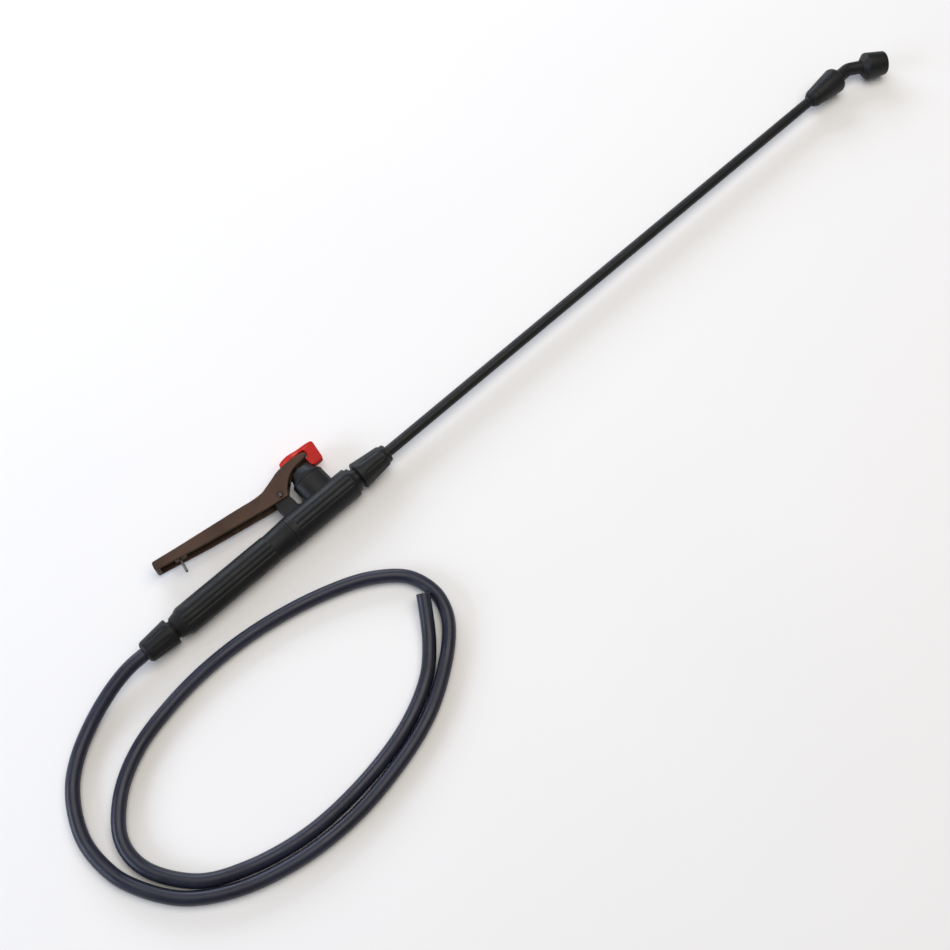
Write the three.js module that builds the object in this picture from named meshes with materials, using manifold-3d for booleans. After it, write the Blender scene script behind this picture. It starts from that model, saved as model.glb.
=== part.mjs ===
// Trigger lance of a backpack sprayer with its supply hose, lying on its side.
// Millimetres. +X runs along the wand to the nozzle, +Y is the trigger side, +Z is up from the floor.
// While it is being built, X = 0 is the front face of the lance nut and the lance axis is Y = Z = 0.
import * as THREE from 'three';
import { mergeVertices } from 'three/addons/utils/BufferGeometryUtils.js';
import Module from 'manifold-3d';

const wasm = await Module();
wasm.setup();

// driving dimensions
const BODY_R = 14.1;            // valve body
const BODY_REAR_X = -110.8;
const BODY_FRONT_X = -38;
const SPIGOT_R = 9.2;           // threaded spigot under the lance nut
const SPIGOT_FRONT_X = -12;
const BONNET_X = -67.7;         // valve stem axis
const BONNET_R = 15.6;          // half length of the oval boss along the lance
const BOSS_HALF = 10.8;         // its half width across
const BONNET_Y = 27.6;          // top of the boss
const SEAT_Y = 6;
const STEM_R = 3;
const STEM_TOP_Y = 53;
const HEAD_UNDER_Y = 50.4;
const HEAD_HALF = 6.5;
const CHAMBER_R = 7.8;
const BONNET_THREAD_R = 9;
const PIVOT = [-96.1, 30];
const PIVOT_R = 2;
const LEVER_HALF = 8;           // half width of the lever
const LEVER_WALL = 2;
const FORK_GAP = 3.7;           // half gap between the fork fingers
const GRIP_R = 13.3;
const GRIP_REAR_X = -229;
const GRIP_FRONT_X = -133.1;
const GRIP_END_X = -250.3;      // end of the threaded tail
const FLUTES = [-37, -17, 3];    // degrees from straight up, the same on the underside
const FLUTE_R = 1.5;            // each flute is the mark of a rod this thick
const FLUTE_OUT = 0.75;         // how far outside the surface the rod's middle lies
const HOSE_NUT_X = [-268.5, -239.6];
const HOSE_R = 6;
const HOSE_BORE_R = 4;
const HOSE_START_X = -254.6;
const WAND_R = 5;
const WAND_BORE_R = 4;
const WAND_X = [-32, 594];
const NOZZLE_NUT_X = [567, 605.4];
const ELBOW_R = 6.5;
const ELBOW_BEND_X = 625;
const ELBOW_DEG = 30;
const CAP_START = 13.7;         // along the nozzle axis from the bend
const CAP_LENGTH = 26;
const CAP_R = [13.3, 11.7];
const AXIS_Z = BODY_R;          // the body rests on the floor
const RUN = 0.3;                // running gap
const ORIGIN = [198, 14];       // middle of the lance's box, without the hose

// ---------- helpers ----------
function tidy(geometry) {
  const g = geometry.clone();
  g.deleteAttribute('normal');
  g.deleteAttribute('uv');
  return mergeVertices(g, 1e-5);
}
function solid(geometry) {
  const g = tidy(geometry);
  return new wasm.Manifold(new wasm.Mesh({
    numProp: 3,
    vertProperties: new Float32Array(g.attributes.position.array),
    triVerts: new Uint32Array(g.index.array),
  }));
}
function geometryOf(body) {
  const m = body.getMesh();
  const p = new Float32Array((m.vertProperties.length / m.numProp) * 3);
  for (let i = 0; i < p.length / 3; i++) {
    for (let k = 0; k < 3; k++) p[3 * i + k] = m.vertProperties[i * m.numProp + k];
  }
  const g = new THREE.BufferGeometry();
  g.setAttribute('position', new THREE.BufferAttribute(p, 3));
  g.setIndex(new THREE.BufferAttribute(new Uint32Array(m.triVerts), 1));
  return g;
}
const union = (first, ...rest) => rest.reduce((a, b) => a.add(b), first);
const cut = (first, ...rest) => rest.reduce((a, b) => a.subtract(b), first);

// profile is [[radius, height], ...], closed if it does not start and end on the axis
function turned(profile, segments = 32) {
  const pts = profile.map(([r, h]) => new THREE.Vector2(r, h));
  if (profile[0][0] > 0) pts.push(pts[0].clone());
  const g = new THREE.LatheGeometry(pts, segments);
  const body = solid(g);
  return body.volume() < 0 ? solid(g.scale(1, 1, -1)) : body;
}
const alongX = (profile, segments) => turned(profile, segments).rotate([0, 0, -90]);
const alongY = (profile, segments) => turned(profile, segments).translate([BONNET_X, 0, 0]);
const rodX = (r, x0, x1, segments = 32) => alongX([[0, x0], [r, x0], [r, x1], [0, x1]], segments);
const rodY = (r, y0, y1, x, segments = 24) =>
  turned([[0, y0], [r, y0], [r, y1], [0, y1]], segments).translate([x, 0, 0]);
const oval = (body) => body.scale([1, 1, BOSS_HALF / BONNET_R]);
const rodZ = (r, half, x, y, segments = 20) =>
  turned([[0, -half], [r, -half], [r, half], [0, half]], segments).rotate([90, 0, 0]).translate([x, y, 0]);
function plate(outline, half) {
  const shape = new THREE.Shape(outline.map(([x, y]) => new THREE.Vector2(x, y)));
  const g = new THREE.ExtrudeGeometry(shape, { depth: 2 * half, bevelEnabled: false });
  g.translate(0, 0, -half);
  return solid(g);
}
// round-ended grooves in the upper and lower faces of a piece of radius bodyR
function flutes(bodyR, x0, x1, turn = 0) {
  const r = FLUTE_R;
  const tool = alongX([[0, x0], [r * 0.75, x0 + r * 0.3], [r, x0 + r], [r, x1 - r],
    [r * 0.75, x1 - r * 0.3], [0, x1]], 10).translate([0, 0, bodyR + FLUTE_OUT]);
  return FLUTES.flatMap((deg) => [tool.rotate([-deg - turn, 0, 0]), tool.rotate([180 + deg + turn, 0, 0])]);
}

// ---------- materials ----------
const palette = {
  black_plastic: [0x1c1b21, 0.45], grip_plastic: [0x1d1b20, 0.55], lever_plastic: [0x3a2c25, 0.5],
  red_plastic: [0xd02228, 0.4], hose_pvc: [0x23232f, 0.4], steel: [0xa8a8a4, 0.35],
  seal_rubber: [0x101010, 0.8], white_plastic: [0xd9d9d2, 0.5],
};
const group = new THREE.Group();
group.name = 'backpack_sprayer_lance';
function add(name, body, slot, owner = group) {
  const [color, roughness] = palette[slot];
  const metalness = slot === 'steel' ? 0.9 : 0;
  const material = new THREE.MeshStandardMaterial({ name: slot, color, roughness, metalness });
  const g = body instanceof THREE.BufferGeometry ? body : geometryOf(body);
  const mesh = new THREE.Mesh(g, material);
  mesh.name = name;
  owner.add(mesh);
  return mesh;
}

// ---------- valve body ----------
const lug = plate([[-105.2, 8], [-105.2, 28], [-102, 33.5], [-98.5, 35.5], [-93.5, 35.5],
  [-90.3, 32], [-89.7, 8]], 5.5);
const bodyShell = cut(
  alongX([[0, -124], [9.6, -124], [9.6, BODY_REAR_X], [BODY_R, BODY_REAR_X],
    [BODY_R, -41.7], [12.1, -40.7], [12.1, BODY_FRONT_X - 0.2], [11.6, BODY_FRONT_X], [SPIGOT_R, BODY_FRONT_X],
    [SPIGOT_R, SPIGOT_FRONT_X], [0, SPIGOT_FRONT_X]], 48),
  ...flutes(BODY_R, -104, -42.6, 5),
);
const valveBody = cut(
  union(bodyShell, oval(rodY(BONNET_R, 0, BONNET_Y, BONNET_X, 48)), lug),
  rodX(3.5, -125, BONNET_X - 5.8, 20),                 // supply bore
  rodY(1.6, 0, SEAT_Y, BONNET_X - 6.2, 12),            // riser to the chamber
  rodX(3.5, BONNET_X - 3.6, -40, 20),                  // delivery bore
  rodX(WAND_R + 0.1, WAND_X[0] - 0.3, -5, 24),         // wand socket
  rodY(3, 0, SEAT_Y + 1, BONNET_X, 20),                // seat port
  alongY([[4.6, 4.8], [CHAMBER_R, 4.8], [CHAMBER_R, SEAT_Y], [4.6, SEAT_Y]], 32),
  rodY(CHAMBER_R, SEAT_Y, BONNET_Y + 1, BONNET_X, 32), // chamber
  rodY(BONNET_THREAD_R + 0.2, 20, BONNET_Y + 1, BONNET_X, 32),
  rodZ(PIVOT_R, 9, PIVOT[0], PIVOT[1], 20),
);
add('valve_body', valveBody, 'black_plastic');
add('pivot_pin', rodZ(PIVOT_R, 8.6, PIVOT[0], PIVOT[1], 20), 'steel');

// ---------- bonnet nut, stem and spring ----------
add('bonnet_nut', cut(
  union(
    oval(alongY([[0, BONNET_Y], [BONNET_R, BONNET_Y], [BONNET_R, 28.8], [12.4, 32.6], [11.6, 36.2],
      [10.6, 38], [9.4, 38.5], [0, 38.5]], 48)),
    rodY(BONNET_THREAD_R, 20.6, 29, BONNET_X, 32),
  ),
  rodY(6.6, 20, 33, BONNET_X, 28),                     // spring pocket
  rodY(STEM_R + RUN, 32, 39, BONNET_X, 24),
  rodY(5.1, 34, 36.2, BONNET_X, 24),                   // seal groove
), 'black_plastic');
function ring(inner, outer, middle, sides = 24) {
  const r = (outer - inner) / 2, at = (outer + inner) / 2;
  return Array.from({ length: 8 }, (_, i) => {
    const a = (i * Math.PI) / 4;
    return [at + r * Math.cos(a), middle + r * Math.sin(a)];
  });
}
add('stem_oring', alongY(ring(STEM_R + 0.1, 5, 35.1), 20), 'seal_rubber');
add('valve_stem', alongY([[0, 8.2], [6.5, 8.2], [6.5, 10.4], [STEM_R, 10.4], [STEM_R, STEM_TOP_Y - 0.5],
  [STEM_R - 0.5, STEM_TOP_Y], [0, STEM_TOP_Y]], 28), 'steel');
add('valve_disc', alongY([[0, SEAT_Y + 0.1], [5.6, SEAT_Y + 0.1], [5.6, 8.2], [0, 8.2]], 24), 'seal_rubber');

class Coil extends THREE.Curve {
  constructor(radius, y0, y1, turns) { super(); Object.assign(this, { radius, y0, y1, turns }); }
  getPoint(t, target = new THREE.Vector3()) {
    const a = 2 * Math.PI * this.turns * t;
    return target.set(this.radius * Math.cos(a), this.y0 + (this.y1 - this.y0) * t, this.radius * Math.sin(a));
  }
}
function swept(curve, radius, sides, steps) {
  const section = new THREE.Shape(Array.from({ length: sides }, (_, i) => {
    const a = (2 * Math.PI * i) / sides;
    return new THREE.Vector2(radius * Math.cos(a), radius * Math.sin(a));
  }));
  return solid(new THREE.ExtrudeGeometry(section, { steps, extrudePath: curve, bevelEnabled: false }));
}
add('valve_spring', swept(new Coil(5, 11.4, 32.1, 6), 0.7, 6, 84).translate([BONNET_X, 0, 0]), 'steel');

// ---------- stem head ----------
const headOutline = [[-79.2, HEAD_UNDER_Y], [-78.4, 53.1], [-76.2, 54.3], [-69, 55.5], [-60.2, 54.2], [-49.6, 53.6],
  [-44.2, 52.5], [-42, 50.1], [-45.2, 35.4], [-46.7, 33.7], [-50, 33.3], [-56.7, 33.6], [-60, 34.8],
  [-61.3, 37.2], [-59.5, 40.4], [-55.4, 42.9], [-53.4, 45.6], [-53.4, 49.2], [-54.6, HEAD_UNDER_Y]];
const headPocket = alongY([[0, 20], [16.2, 20], [16.2, 29.4], [11.8, 36], [11.2, 45.5], [0, 45.5]], 36);
add('stem_head', cut(plate(headOutline, HEAD_HALF), headPocket, rodY(STEM_R, 40, STEM_TOP_Y, BONNET_X, 28)), 'red_plastic');

// ---------- lever ----------
const CROWN = { x: -72, y: 50.1, r: 82 };
const crown = (x) => CROWN.y - CROWN.r + Math.sqrt(CROWN.r ** 2 - (x - CROWN.x) ** 2);
const leverTop = [[-216, 57.1], [-193, 53.6], [-171.2, 50.6], [-149, 47.6], [-128.9, 44.8], [-119, 43.2],
  [-111.8, 42.6], [-106.5, 42.7], [-101.5, 44], [-93, 46.6], [-85.2, crown(-85.2)]]
  .concat([-79, -72, -65, -59].map((x) => [x, crown(x)]));
const leverFront = [[-55.6, 47.8], [-54.4, 46.2], [-54.9, 44.4], [-56.4, 43.3], [-63.5, 42.8], [-72.5, 41.4],
  [-78.9, 38.5], [-83.5, 34.7], [-88.2, 30], [-91.2, 25.3]];
const leverBottom = [[-102, 26.2], [-127.9, 30.9], [-170.5, 38.8], [-197.3, 44.7], [-218.1, 49.3]];
const channel = [[-213.6, 54.5], ...leverTop.slice(1, 10).map(([x, y]) => [x, y - 2.2]), [-82, 46.8],
  [-82, 20], [-213.6, 20]];
const pinSlope = 12;            // degrees from the lever's normal
const pinAt = (r, from, to) => turned([[0, from], [r, from], [r, to], [0, to]], 16)
  .rotate([0, 0, -pinSlope]).translate([-198.2, 32.6, 0]);
const pinBoss = plate([[-200, 56], [-200, 46], [-189, 46], [-189, 56]], 3.2);
const leverSolid = plate([...leverTop, ...leverFront, ...leverBottom], LEVER_HALF);
add('lever', cut(
  union(cut(leverSolid, plate(channel, LEVER_HALF - LEVER_WALL)), pinBoss.intersect(leverSolid)),
  plate([[-76, 60], [-76, 30], [-40, 30], [-40, 60]], FORK_GAP),
  rodZ(PIVOT_R + RUN, 9, PIVOT[0], PIVOT[1], 20),
  pinAt(1.2, 0, 17),
), 'lever_plastic');
add('stop_pin', pinAt(1.2, 0, 17), 'steel');

// ---------- grip ----------
add('grip_body', cut(
  alongX([[0, GRIP_END_X], [9, GRIP_END_X], [9, -236.3], [10, -236.3], [11.9, GRIP_REAR_X],
    [GRIP_R, GRIP_REAR_X], [GRIP_R, GRIP_FRONT_X], [BODY_R, BODY_REAR_X - 0.1], [0, BODY_REAR_X - 0.1]], 48),
  ...flutes(GRIP_R, GRIP_REAR_X - 4, GRIP_FRONT_X + 2),
  rodX(3.6, -252, -200, 20),
  rodX(8, -212, -120, 28),
  rodX(9.9, -126, -100, 32),
), 'grip_plastic');
add('grip_seal', alongX(ring(7.6, 9.4, -124.9), 24), 'seal_rubber');
add('strainer', alongX([[0, -204], [5.4, -204], [5.4, -132], [7.6, -132], [7.6, -130.4], [4.6, -130.4],
  [4.6, -203.2], [0, -203.2]], 24), 'white_plastic');

// ---------- union nuts and seals ----------
// eight shallow scallops follow the cone from [x, radius] to [x, radius]
function scallops([x0, r0], [x1, r1]) {
  const r = 3.4, depth = 0.5, half = Math.hypot(x1 - x0, r1 - r0) / 2;
  const tool = alongX([[0, -half], [r, -half + r], [r, half - r], [0, half]], 16)
    .rotate([0, (Math.atan2(r0 - r1, x1 - x0) * 180) / Math.PI, 0])
    .translate([(x0 + x1) / 2, 0, (r0 + r1) / 2 + r - depth]);
  return Array.from({ length: 8 }, (_, i) => tool.rotate([22.5 + i * 45, 0, 0]));
}
add('lance_nut', cut(
  alongX([[SPIGOT_R + RUN, -33.4], [13, -33.4], [13.1, -32.6], [10, -4.6], [8.7, -2.8], [8.4, 0],
    [WAND_R + RUN, 0], [WAND_R + RUN, -7.6], [SPIGOT_R + RUN, -7.6]], 48),
  ...scallops([-30.5, 12.87], [-5.5, 10.1]),
), 'black_plastic');
add('lance_seal', alongX([[WAND_R + 0.05, -11.7], [SPIGOT_R - 0.2, -11.7], [SPIGOT_R - 0.2, -7.9],
  [WAND_R + 0.05, -7.9]], 24), 'seal_rubber');
add('hose_nut', cut(
  alongX([[12.2, HOSE_NUT_X[1]], [12.5, -240.2], [10.3, -264.6], [9.6, -267], [7.6, HOSE_NUT_X[0]],
    [HOSE_R + 0.35, HOSE_NUT_X[0]], [HOSE_R + 0.35, -255.2], [9.3, -255.2], [9.3, HOSE_NUT_X[1]]], 48),
  ...scallops([-264, 10.35], [-242, 12.34]),
), 'black_plastic');
add('hose_gasket', alongX([[3.9, -252.2], [8.6, -252.2], [8.6, -250.5], [3.9, -250.5]], 24), 'seal_rubber');
add('hose_barb', alongX([[2.4, -266], [3.4, -266], [3.7, -264.6], [3.7, -254.2], [8.6, -254.2], [8.6, -252.4],
  [2.4, -252.4]], 24), 'white_plastic');

// ---------- hose ----------
// centre line, with Z above the floor
const hoseRoute = [[HOSE_START_X, 0, 14.1], [-268.5, 0, 14.1], [-285, -0.4, 13.8], [-302.1, -3.2, 12.2],
  [-320.4, -8.4, 9.7], [-339.2, -16, 7.4], [-358.4, -27, 6.3], [-375.9, -42.5, 6], [-388.7, -62.8, 6],
  [-396.5, -86, 6], [-396.9, -110.3, 6], [-391.6, -133.4, 6], [-368.1, -171.4, 6], [-333.7, -195.9, 6],
  [-286, -211.9, 6], [-234, -217.3, 6], [-181.4, -211.9, 6], [-129.1, -197.1, 6], [-87.5, -172.2, 6],
  [-66.6, -152.8, 6], [-58.3, -138.8, 6], [-54.9, -121.5, 6], [-61.9, -97.4, 6], [-87, -75.4, 6],
  [-126.6, -58.6, 6], [-180, -46, 6], [-230, -42.1, 6], [-277, -45.8, 6], [-321.4, -56.9, 6],
  [-354.2, -77.1, 6], [-374.5, -105, 6], [-374.8, -133.3, 6], [-350.7, -170.2, 6], [-316.3, -189.5, 6],
  [-264.1, -202.5, 6], [-204.3, -202.2, 6], [-148.4, -191.1, 6], [-109.5, -172.2, 6], [-89, -153, 6.6],
  [-74.1, -133.1, 9.6], [-64.7, -118.7, 13.4]];
const hoseCurve = new THREE.CatmullRomCurve3(hoseRoute.map(([x, y, z]) => new THREE.Vector3(x, y, z - AXIS_Z)));
const hoseEnd = hoseCurve.getPoint(1);
const endTangent = hoseCurve.getTangent(1);
const endBore = solid(new THREE.CylinderGeometry(HOSE_BORE_R, HOSE_BORE_R, 50, 16)
  .applyQuaternion(new THREE.Quaternion().setFromUnitVectors(new THREE.Vector3(0, 1, 0), endTangent))
  .translate(hoseEnd.x, hoseEnd.y, hoseEnd.z));
const hose = cut(swept(hoseCurve, HOSE_R, 12, 72), rodX(HOSE_BORE_R, -267.5, -250, 20), endBore);

// ---------- wand and nozzle ----------
add('wand_tube', alongX([[WAND_BORE_R, WAND_X[0]], [WAND_R, WAND_X[0]], [WAND_R, WAND_X[1]],
  [WAND_BORE_R, WAND_X[1]]], 24), 'black_plastic');
add('nozzle_nut', alongX([[12.6, NOZZLE_NUT_X[1]], [13, 604.4], [8.8, 571], [6, NOZZLE_NUT_X[0]],
  [WAND_R + RUN, NOZZLE_NUT_X[0]], [WAND_R + RUN, 573.4], [9.3, 573.4], [9.3, NOZZLE_NUT_X[1]]], 48), 'black_plastic');
add('nozzle_seal', alongX([[WAND_R + 0.05, 573.7], [8.9, 573.7], [8.9, 577.2], [WAND_R + 0.05, 577.2]], 24),
  'seal_rubber');

// pieces on the slanted nozzle axis are drawn along X from the bend and then swung round it
const swung = (body) => body.rotate([0, 0, -ELBOW_DEG]).translate([ELBOW_BEND_X, 0, 0]);
const miter = ELBOW_R * Math.tan((ELBOW_DEG * Math.PI) / 360) + 0.01;
const kneeBall = turned([[0, -ELBOW_R], [ELBOW_R * 0.71, -ELBOW_R * 0.71], [ELBOW_R, 0],
  [ELBOW_R * 0.71, ELBOW_R * 0.71], [0, ELBOW_R]], 24).rotate([90, 0, 0]).translate([ELBOW_BEND_X, 0, 0]);
add('nozzle_elbow', cut(
  union(
    alongX([[0, 577.5], [9, 577.5], [9, 605.7], [12.6, 605.7], [12.1, 606.6], [7.4, 609.8], [ELBOW_R, 610.8],
      [ELBOW_R, ELBOW_BEND_X + miter], [0, ELBOW_BEND_X + miter]], 32),
    kneeBall,
    swung(alongX([[0, -miter], [ELBOW_R, -miter], [ELBOW_R, CAP_START + 1.8], [8.2, CAP_START + 2.8],
      [8.2, CAP_START + 19], [0, CAP_START + 19]], 32)),
  ),
  rodX(WAND_R + 0.1, 570, WAND_X[1] + 0.3, 24),
  rodX(3, 590, ELBOW_BEND_X, 16),
  swung(rodX(3, -1, 50, 16)),
  swung(rodX(5.3, CAP_START + 9, 50, 20)),
), 'black_plastic');
add('swirl_core', swung(cut(
  rodX(5, CAP_START + 9.4, CAP_START + 18.6, 20),
  ...[0, 120, 240].map((deg) => rodX(1, CAP_START + 5, CAP_START + 22, 10).translate([0, 0, 4.6])
    .rotate([deg, 0, 0])),
)), 'white_plastic');
add('nozzle_gasket', swung(alongX([[2.4, CAP_START + 19.3], [8, CAP_START + 19.3], [8, CAP_START + 20.8],
  [2.4, CAP_START + 20.8]], 20)), 'seal_rubber');
add('nozzle_cap', swung(alongX([
  [ELBOW_R + RUN, CAP_START], [7.4, CAP_START + 0.4], [12.4, CAP_START + 4.2], [CAP_R[0], CAP_START + 5.6],
  [CAP_R[1], CAP_START + CAP_LENGTH - 1.6], [CAP_R[1] - 1.5, CAP_START + CAP_LENGTH], [3.4, CAP_START + CAP_LENGTH],
  [0.7, CAP_START + CAP_LENGTH - 2.6], [0.7, CAP_START + 21.1], [8.5, CAP_START + 21.1], [8.5, CAP_START + 1.4],
  [ELBOW_R + RUN, CAP_START + 0.8]], 36)), 'black_plastic');

// ---------- place the lance on the floor, its own box centred over the origin ----------
add('hose', hose, 'hose_pvc');
for (const mesh of group.children) mesh.geometry.translate(-ORIGIN[0], -ORIGIN[1], AXIS_Z);

export default group;
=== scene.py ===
# Trigger lance of a backpack sprayer with its hose, lying on a pale floor.
# Metres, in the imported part's frame; sizes are written in millimetres and turned by MM and at().
from math import atan2, cos, exp, hypot, log, pi, radians, sin, sqrt, tan

import bpy
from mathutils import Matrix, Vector


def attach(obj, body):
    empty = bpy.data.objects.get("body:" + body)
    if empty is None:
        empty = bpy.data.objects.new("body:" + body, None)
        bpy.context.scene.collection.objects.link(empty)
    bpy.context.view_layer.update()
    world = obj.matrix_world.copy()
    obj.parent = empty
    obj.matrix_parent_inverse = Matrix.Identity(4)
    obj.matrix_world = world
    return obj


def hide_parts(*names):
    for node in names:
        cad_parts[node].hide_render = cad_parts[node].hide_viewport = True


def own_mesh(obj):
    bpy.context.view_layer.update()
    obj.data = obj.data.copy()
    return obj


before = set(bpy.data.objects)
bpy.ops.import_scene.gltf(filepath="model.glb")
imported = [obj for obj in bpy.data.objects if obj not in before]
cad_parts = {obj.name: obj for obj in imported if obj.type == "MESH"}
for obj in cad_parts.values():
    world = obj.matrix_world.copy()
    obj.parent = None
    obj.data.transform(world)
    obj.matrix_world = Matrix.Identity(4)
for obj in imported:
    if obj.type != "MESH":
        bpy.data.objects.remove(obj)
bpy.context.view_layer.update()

MM = 0.001
AXIS_Y = -14 * MM                      # lance axis in the frame
AXIS_Z = 14.1 * MM                     # the valve body's radius, so that it rests on the floor
NUT_X = -198 * MM                      # front face of the lance nut


def at(x, y=0.0, z=0.0):
    """A point given in millimetres from the lance nut's front face and the lance axis."""
    return Vector((NUT_X + x * MM, AXIS_Y + y * MM, AXIS_Z + z * MM))


# ---------- camera ----------
def add_camera(target, azimuth, elevation, distance):
    az, el = radians(azimuth), radians(elevation)
    back = Vector((sin(az) * cos(el), -cos(az) * cos(el), sin(el)))
    bpy.ops.object.camera_add(location=target + back * distance)
    camera = bpy.context.object
    camera.name = "camera"
    camera.rotation_euler = back.to_track_quat("Z", "Y").to_euler()
    camera.data.lens = 49.98
    camera.data.sensor_width = 36
    camera.data.clip_end = 20
    bpy.context.scene.camera = camera


add_camera(target=at(42.1, -69.1), azimuth=-43.14, elevation=66.4, distance=1.1589)
bpy.context.scene.view_settings.view_transform = "Standard"


# ---------- modelling helpers ----------
MERGE_GAP = 0.004 * MM


def deselect():
    if bpy.context.object and bpy.context.object.mode != "OBJECT":
        bpy.ops.object.mode_set(mode="OBJECT")
    bpy.ops.object.select_all(action="DESELECT")


def pick(obj):
    deselect()
    obj.select_set(True)
    bpy.context.view_layer.objects.active = obj


def settle(obj):
    """Puts the piece's place into its mesh."""
    pick(obj)
    bpy.ops.object.transform_apply(location=True, rotation=True, scale=True)


def remove(obj):
    mesh = obj.data
    bpy.data.objects.remove(obj)
    bpy.data.meshes.remove(mesh)


def modify(obj, kind, **settings):
    pick(obj)
    modifier = obj.modifiers.new(kind.lower(), kind)
    for key, value in settings.items():
        setattr(modifier, key, value)
    bpy.ops.object.modifier_apply(modifier=modifier.name)


def round_edges(obj, width, angle, segments=3):
    modify(obj, "BEVEL", width=width * MM, segments=segments, limit_method="ANGLE",
           angle_limit=radians(angle))


def carve(obj, *tools):
    for tool in tools:
        modify(obj, "BOOLEAN", object=tool, operation="DIFFERENCE", solver="EXACT")
        remove(tool)


def weld(obj, *parts):
    for part in parts:
        modify(obj, "BOOLEAN", object=part, operation="UNION", solver="EXACT")
        remove(part)


def smooth(obj, angle):
    pick(obj)
    bpy.ops.object.shade_smooth_by_angle(angle=radians(angle))


def resize_groups(obj, groups):
    """Resizes groups of points; groups maps (scale, centre) to point numbers."""
    for (scale, centre), indices in sorted(groups.items()):
        pick(obj)
        bpy.ops.object.mode_set(mode="EDIT")
        bpy.ops.mesh.select_mode(type="VERT")
        bpy.ops.mesh.select_all(action="DESELECT")
        bpy.ops.object.mode_set(mode="OBJECT")
        for i in indices:
            obj.data.vertices[i].select = True
        bpy.ops.object.mode_set(mode="EDIT")
        bpy.ops.transform.resize(value=scale, center_override=centre)
    bpy.ops.object.mode_set(mode="OBJECT")


def clean(obj):
    """Merges what lies together and turns every face outwards."""
    pick(obj)
    bpy.ops.object.mode_set(mode="EDIT")
    bpy.ops.mesh.select_all(action="SELECT")
    bpy.ops.mesh.remove_doubles(threshold=MERGE_GAP)
    bpy.ops.mesh.normals_make_consistent(inside=False)
    bpy.ops.object.mode_set(mode="OBJECT")


def flow(points, steps):
    """A smooth line through the points: a centripetal Catmull-Rom curve."""
    points = [Vector(p) for p in points]
    ends = [2 * points[0] - points[1]] + points + [2 * points[-1] - points[-2]]
    line = []
    for a, b, c, d in zip(ends, ends[1:], ends[2:], ends[3:]):
        s, t, u = sqrt((b - a).length), sqrt((c - b).length), sqrt((d - c).length)
        leave = ((b - a) / s - (c - a) / (s + t)) * t + (c - b)
        arrive = (c - b) - ((d - b) / (t + u) - (d - c) / u) * t
        for w in (k / steps for k in range(steps)):
            line.append(b * (2 * w**3 - 3 * w**2 + 1) + leave * (w**3 - 2 * w**2 + w)
                        + c * (3 * w**2 - 2 * w**3) + arrive * (w**3 - w**2))
    return line + [points[-1]]


def rounded(outline, steps=6):
    """The outline, (x, y) or (x, y, radius), with an arc at every corner that gives a radius."""
    points = []
    for i, corner in enumerate(outline):
        p = Vector(corner[:2])
        if len(corner) == 2:
            points.append(p)
            continue
        back = (Vector(outline[i - 1][:2]) - p).normalized()
        ahead = (Vector(outline[(i + 1) % len(outline)][:2]) - p).normalized()
        half = back.angle(ahead) / 2
        centre = p + (back + ahead).normalized() * corner[2] / sin(half)
        first = p + back * corner[2] / tan(half) - centre
        last = p + ahead * corner[2] / tan(half) - centre
        start = atan2(first.y, first.x)
        sweep = (atan2(last.y, last.x) - start + pi) % (2 * pi) - pi
        for k in range(steps + 1):
            a = start + sweep * k / steps
            points.append(centre + Vector((cos(a), sin(a))) * corner[2])
    return points


# each axis, and the turn that stands a circle across it
WAYS = {"X": ((1, 0, 0), (0, pi / 2, 0)), "Y": ((0, 1, 0), (-pi / 2, 0, 0)), "Z": ((0, 0, 1), (0, 0, 0))}


def turned(name, profile, along="X", centre=(0, 0, 0), sides=96, hollow=False):
    """A turned piece. profile is (radius, place along the axis) in millimetres and centre the
    axis's point at place 0. A hollow piece's profile closes on itself; a solid one's first and
    last points are flat ends."""
    way, turn = WAYS[along]
    way, base = Vector(way), at(*centre)
    if hollow:
        profile = profile + profile[:1]
    deselect()
    radius, place = profile[0]
    bpy.ops.mesh.primitive_circle_add(vertices=sides, radius=radius * MM, rotation=turn,
                                      location=base + way * place * MM,
                                      fill_type="NOTHING" if hollow else "NGON")
    obj = bpy.context.object
    obj.name = obj.data.name = name
    bpy.ops.object.mode_set(mode="EDIT")
    bpy.ops.mesh.select_mode(type="VERT")
    bpy.ops.mesh.select_all(action="SELECT")
    for (r0, p0), (r1, p1) in zip(profile, profile[1:]):
        bpy.ops.mesh.extrude_region_move(TRANSFORM_OT_translate={"value": way * (p1 - p0) * MM})
        k = r1 / r0
        bpy.ops.transform.resize(value=[1 if c else k for c in way], center_override=base + way * p1 * MM)
    bpy.ops.object.mode_set(mode="OBJECT")
    clean(obj)
    settle(obj)
    return obj


def plate(name, outline, half):
    """A flat piece of that outline, 2 * half thick across the lance."""
    points = rounded(outline)
    deselect()
    bpy.ops.mesh.primitive_plane_add(size=MM, location=at(*points[0], -half))
    obj = bpy.context.object
    obj.name = obj.data.name = name
    bpy.ops.object.mode_set(mode="EDIT")
    bpy.ops.mesh.select_mode(type="VERT")
    bpy.ops.mesh.select_all(action="SELECT")
    bpy.ops.mesh.merge(type="CENTER")
    for a, b in zip(points, points[1:]):
        bpy.ops.mesh.extrude_region_move(TRANSFORM_OT_translate={"value": (b - a).to_3d() * MM})
    bpy.ops.mesh.select_all(action="SELECT")
    bpy.ops.mesh.edge_face_add()
    bpy.ops.mesh.extrude_region_move(TRANSFORM_OT_translate={"value": (0, 0, 2 * half * MM)})
    bpy.ops.object.mode_set(mode="OBJECT")
    clean(obj)
    settle(obj)
    return obj


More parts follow.
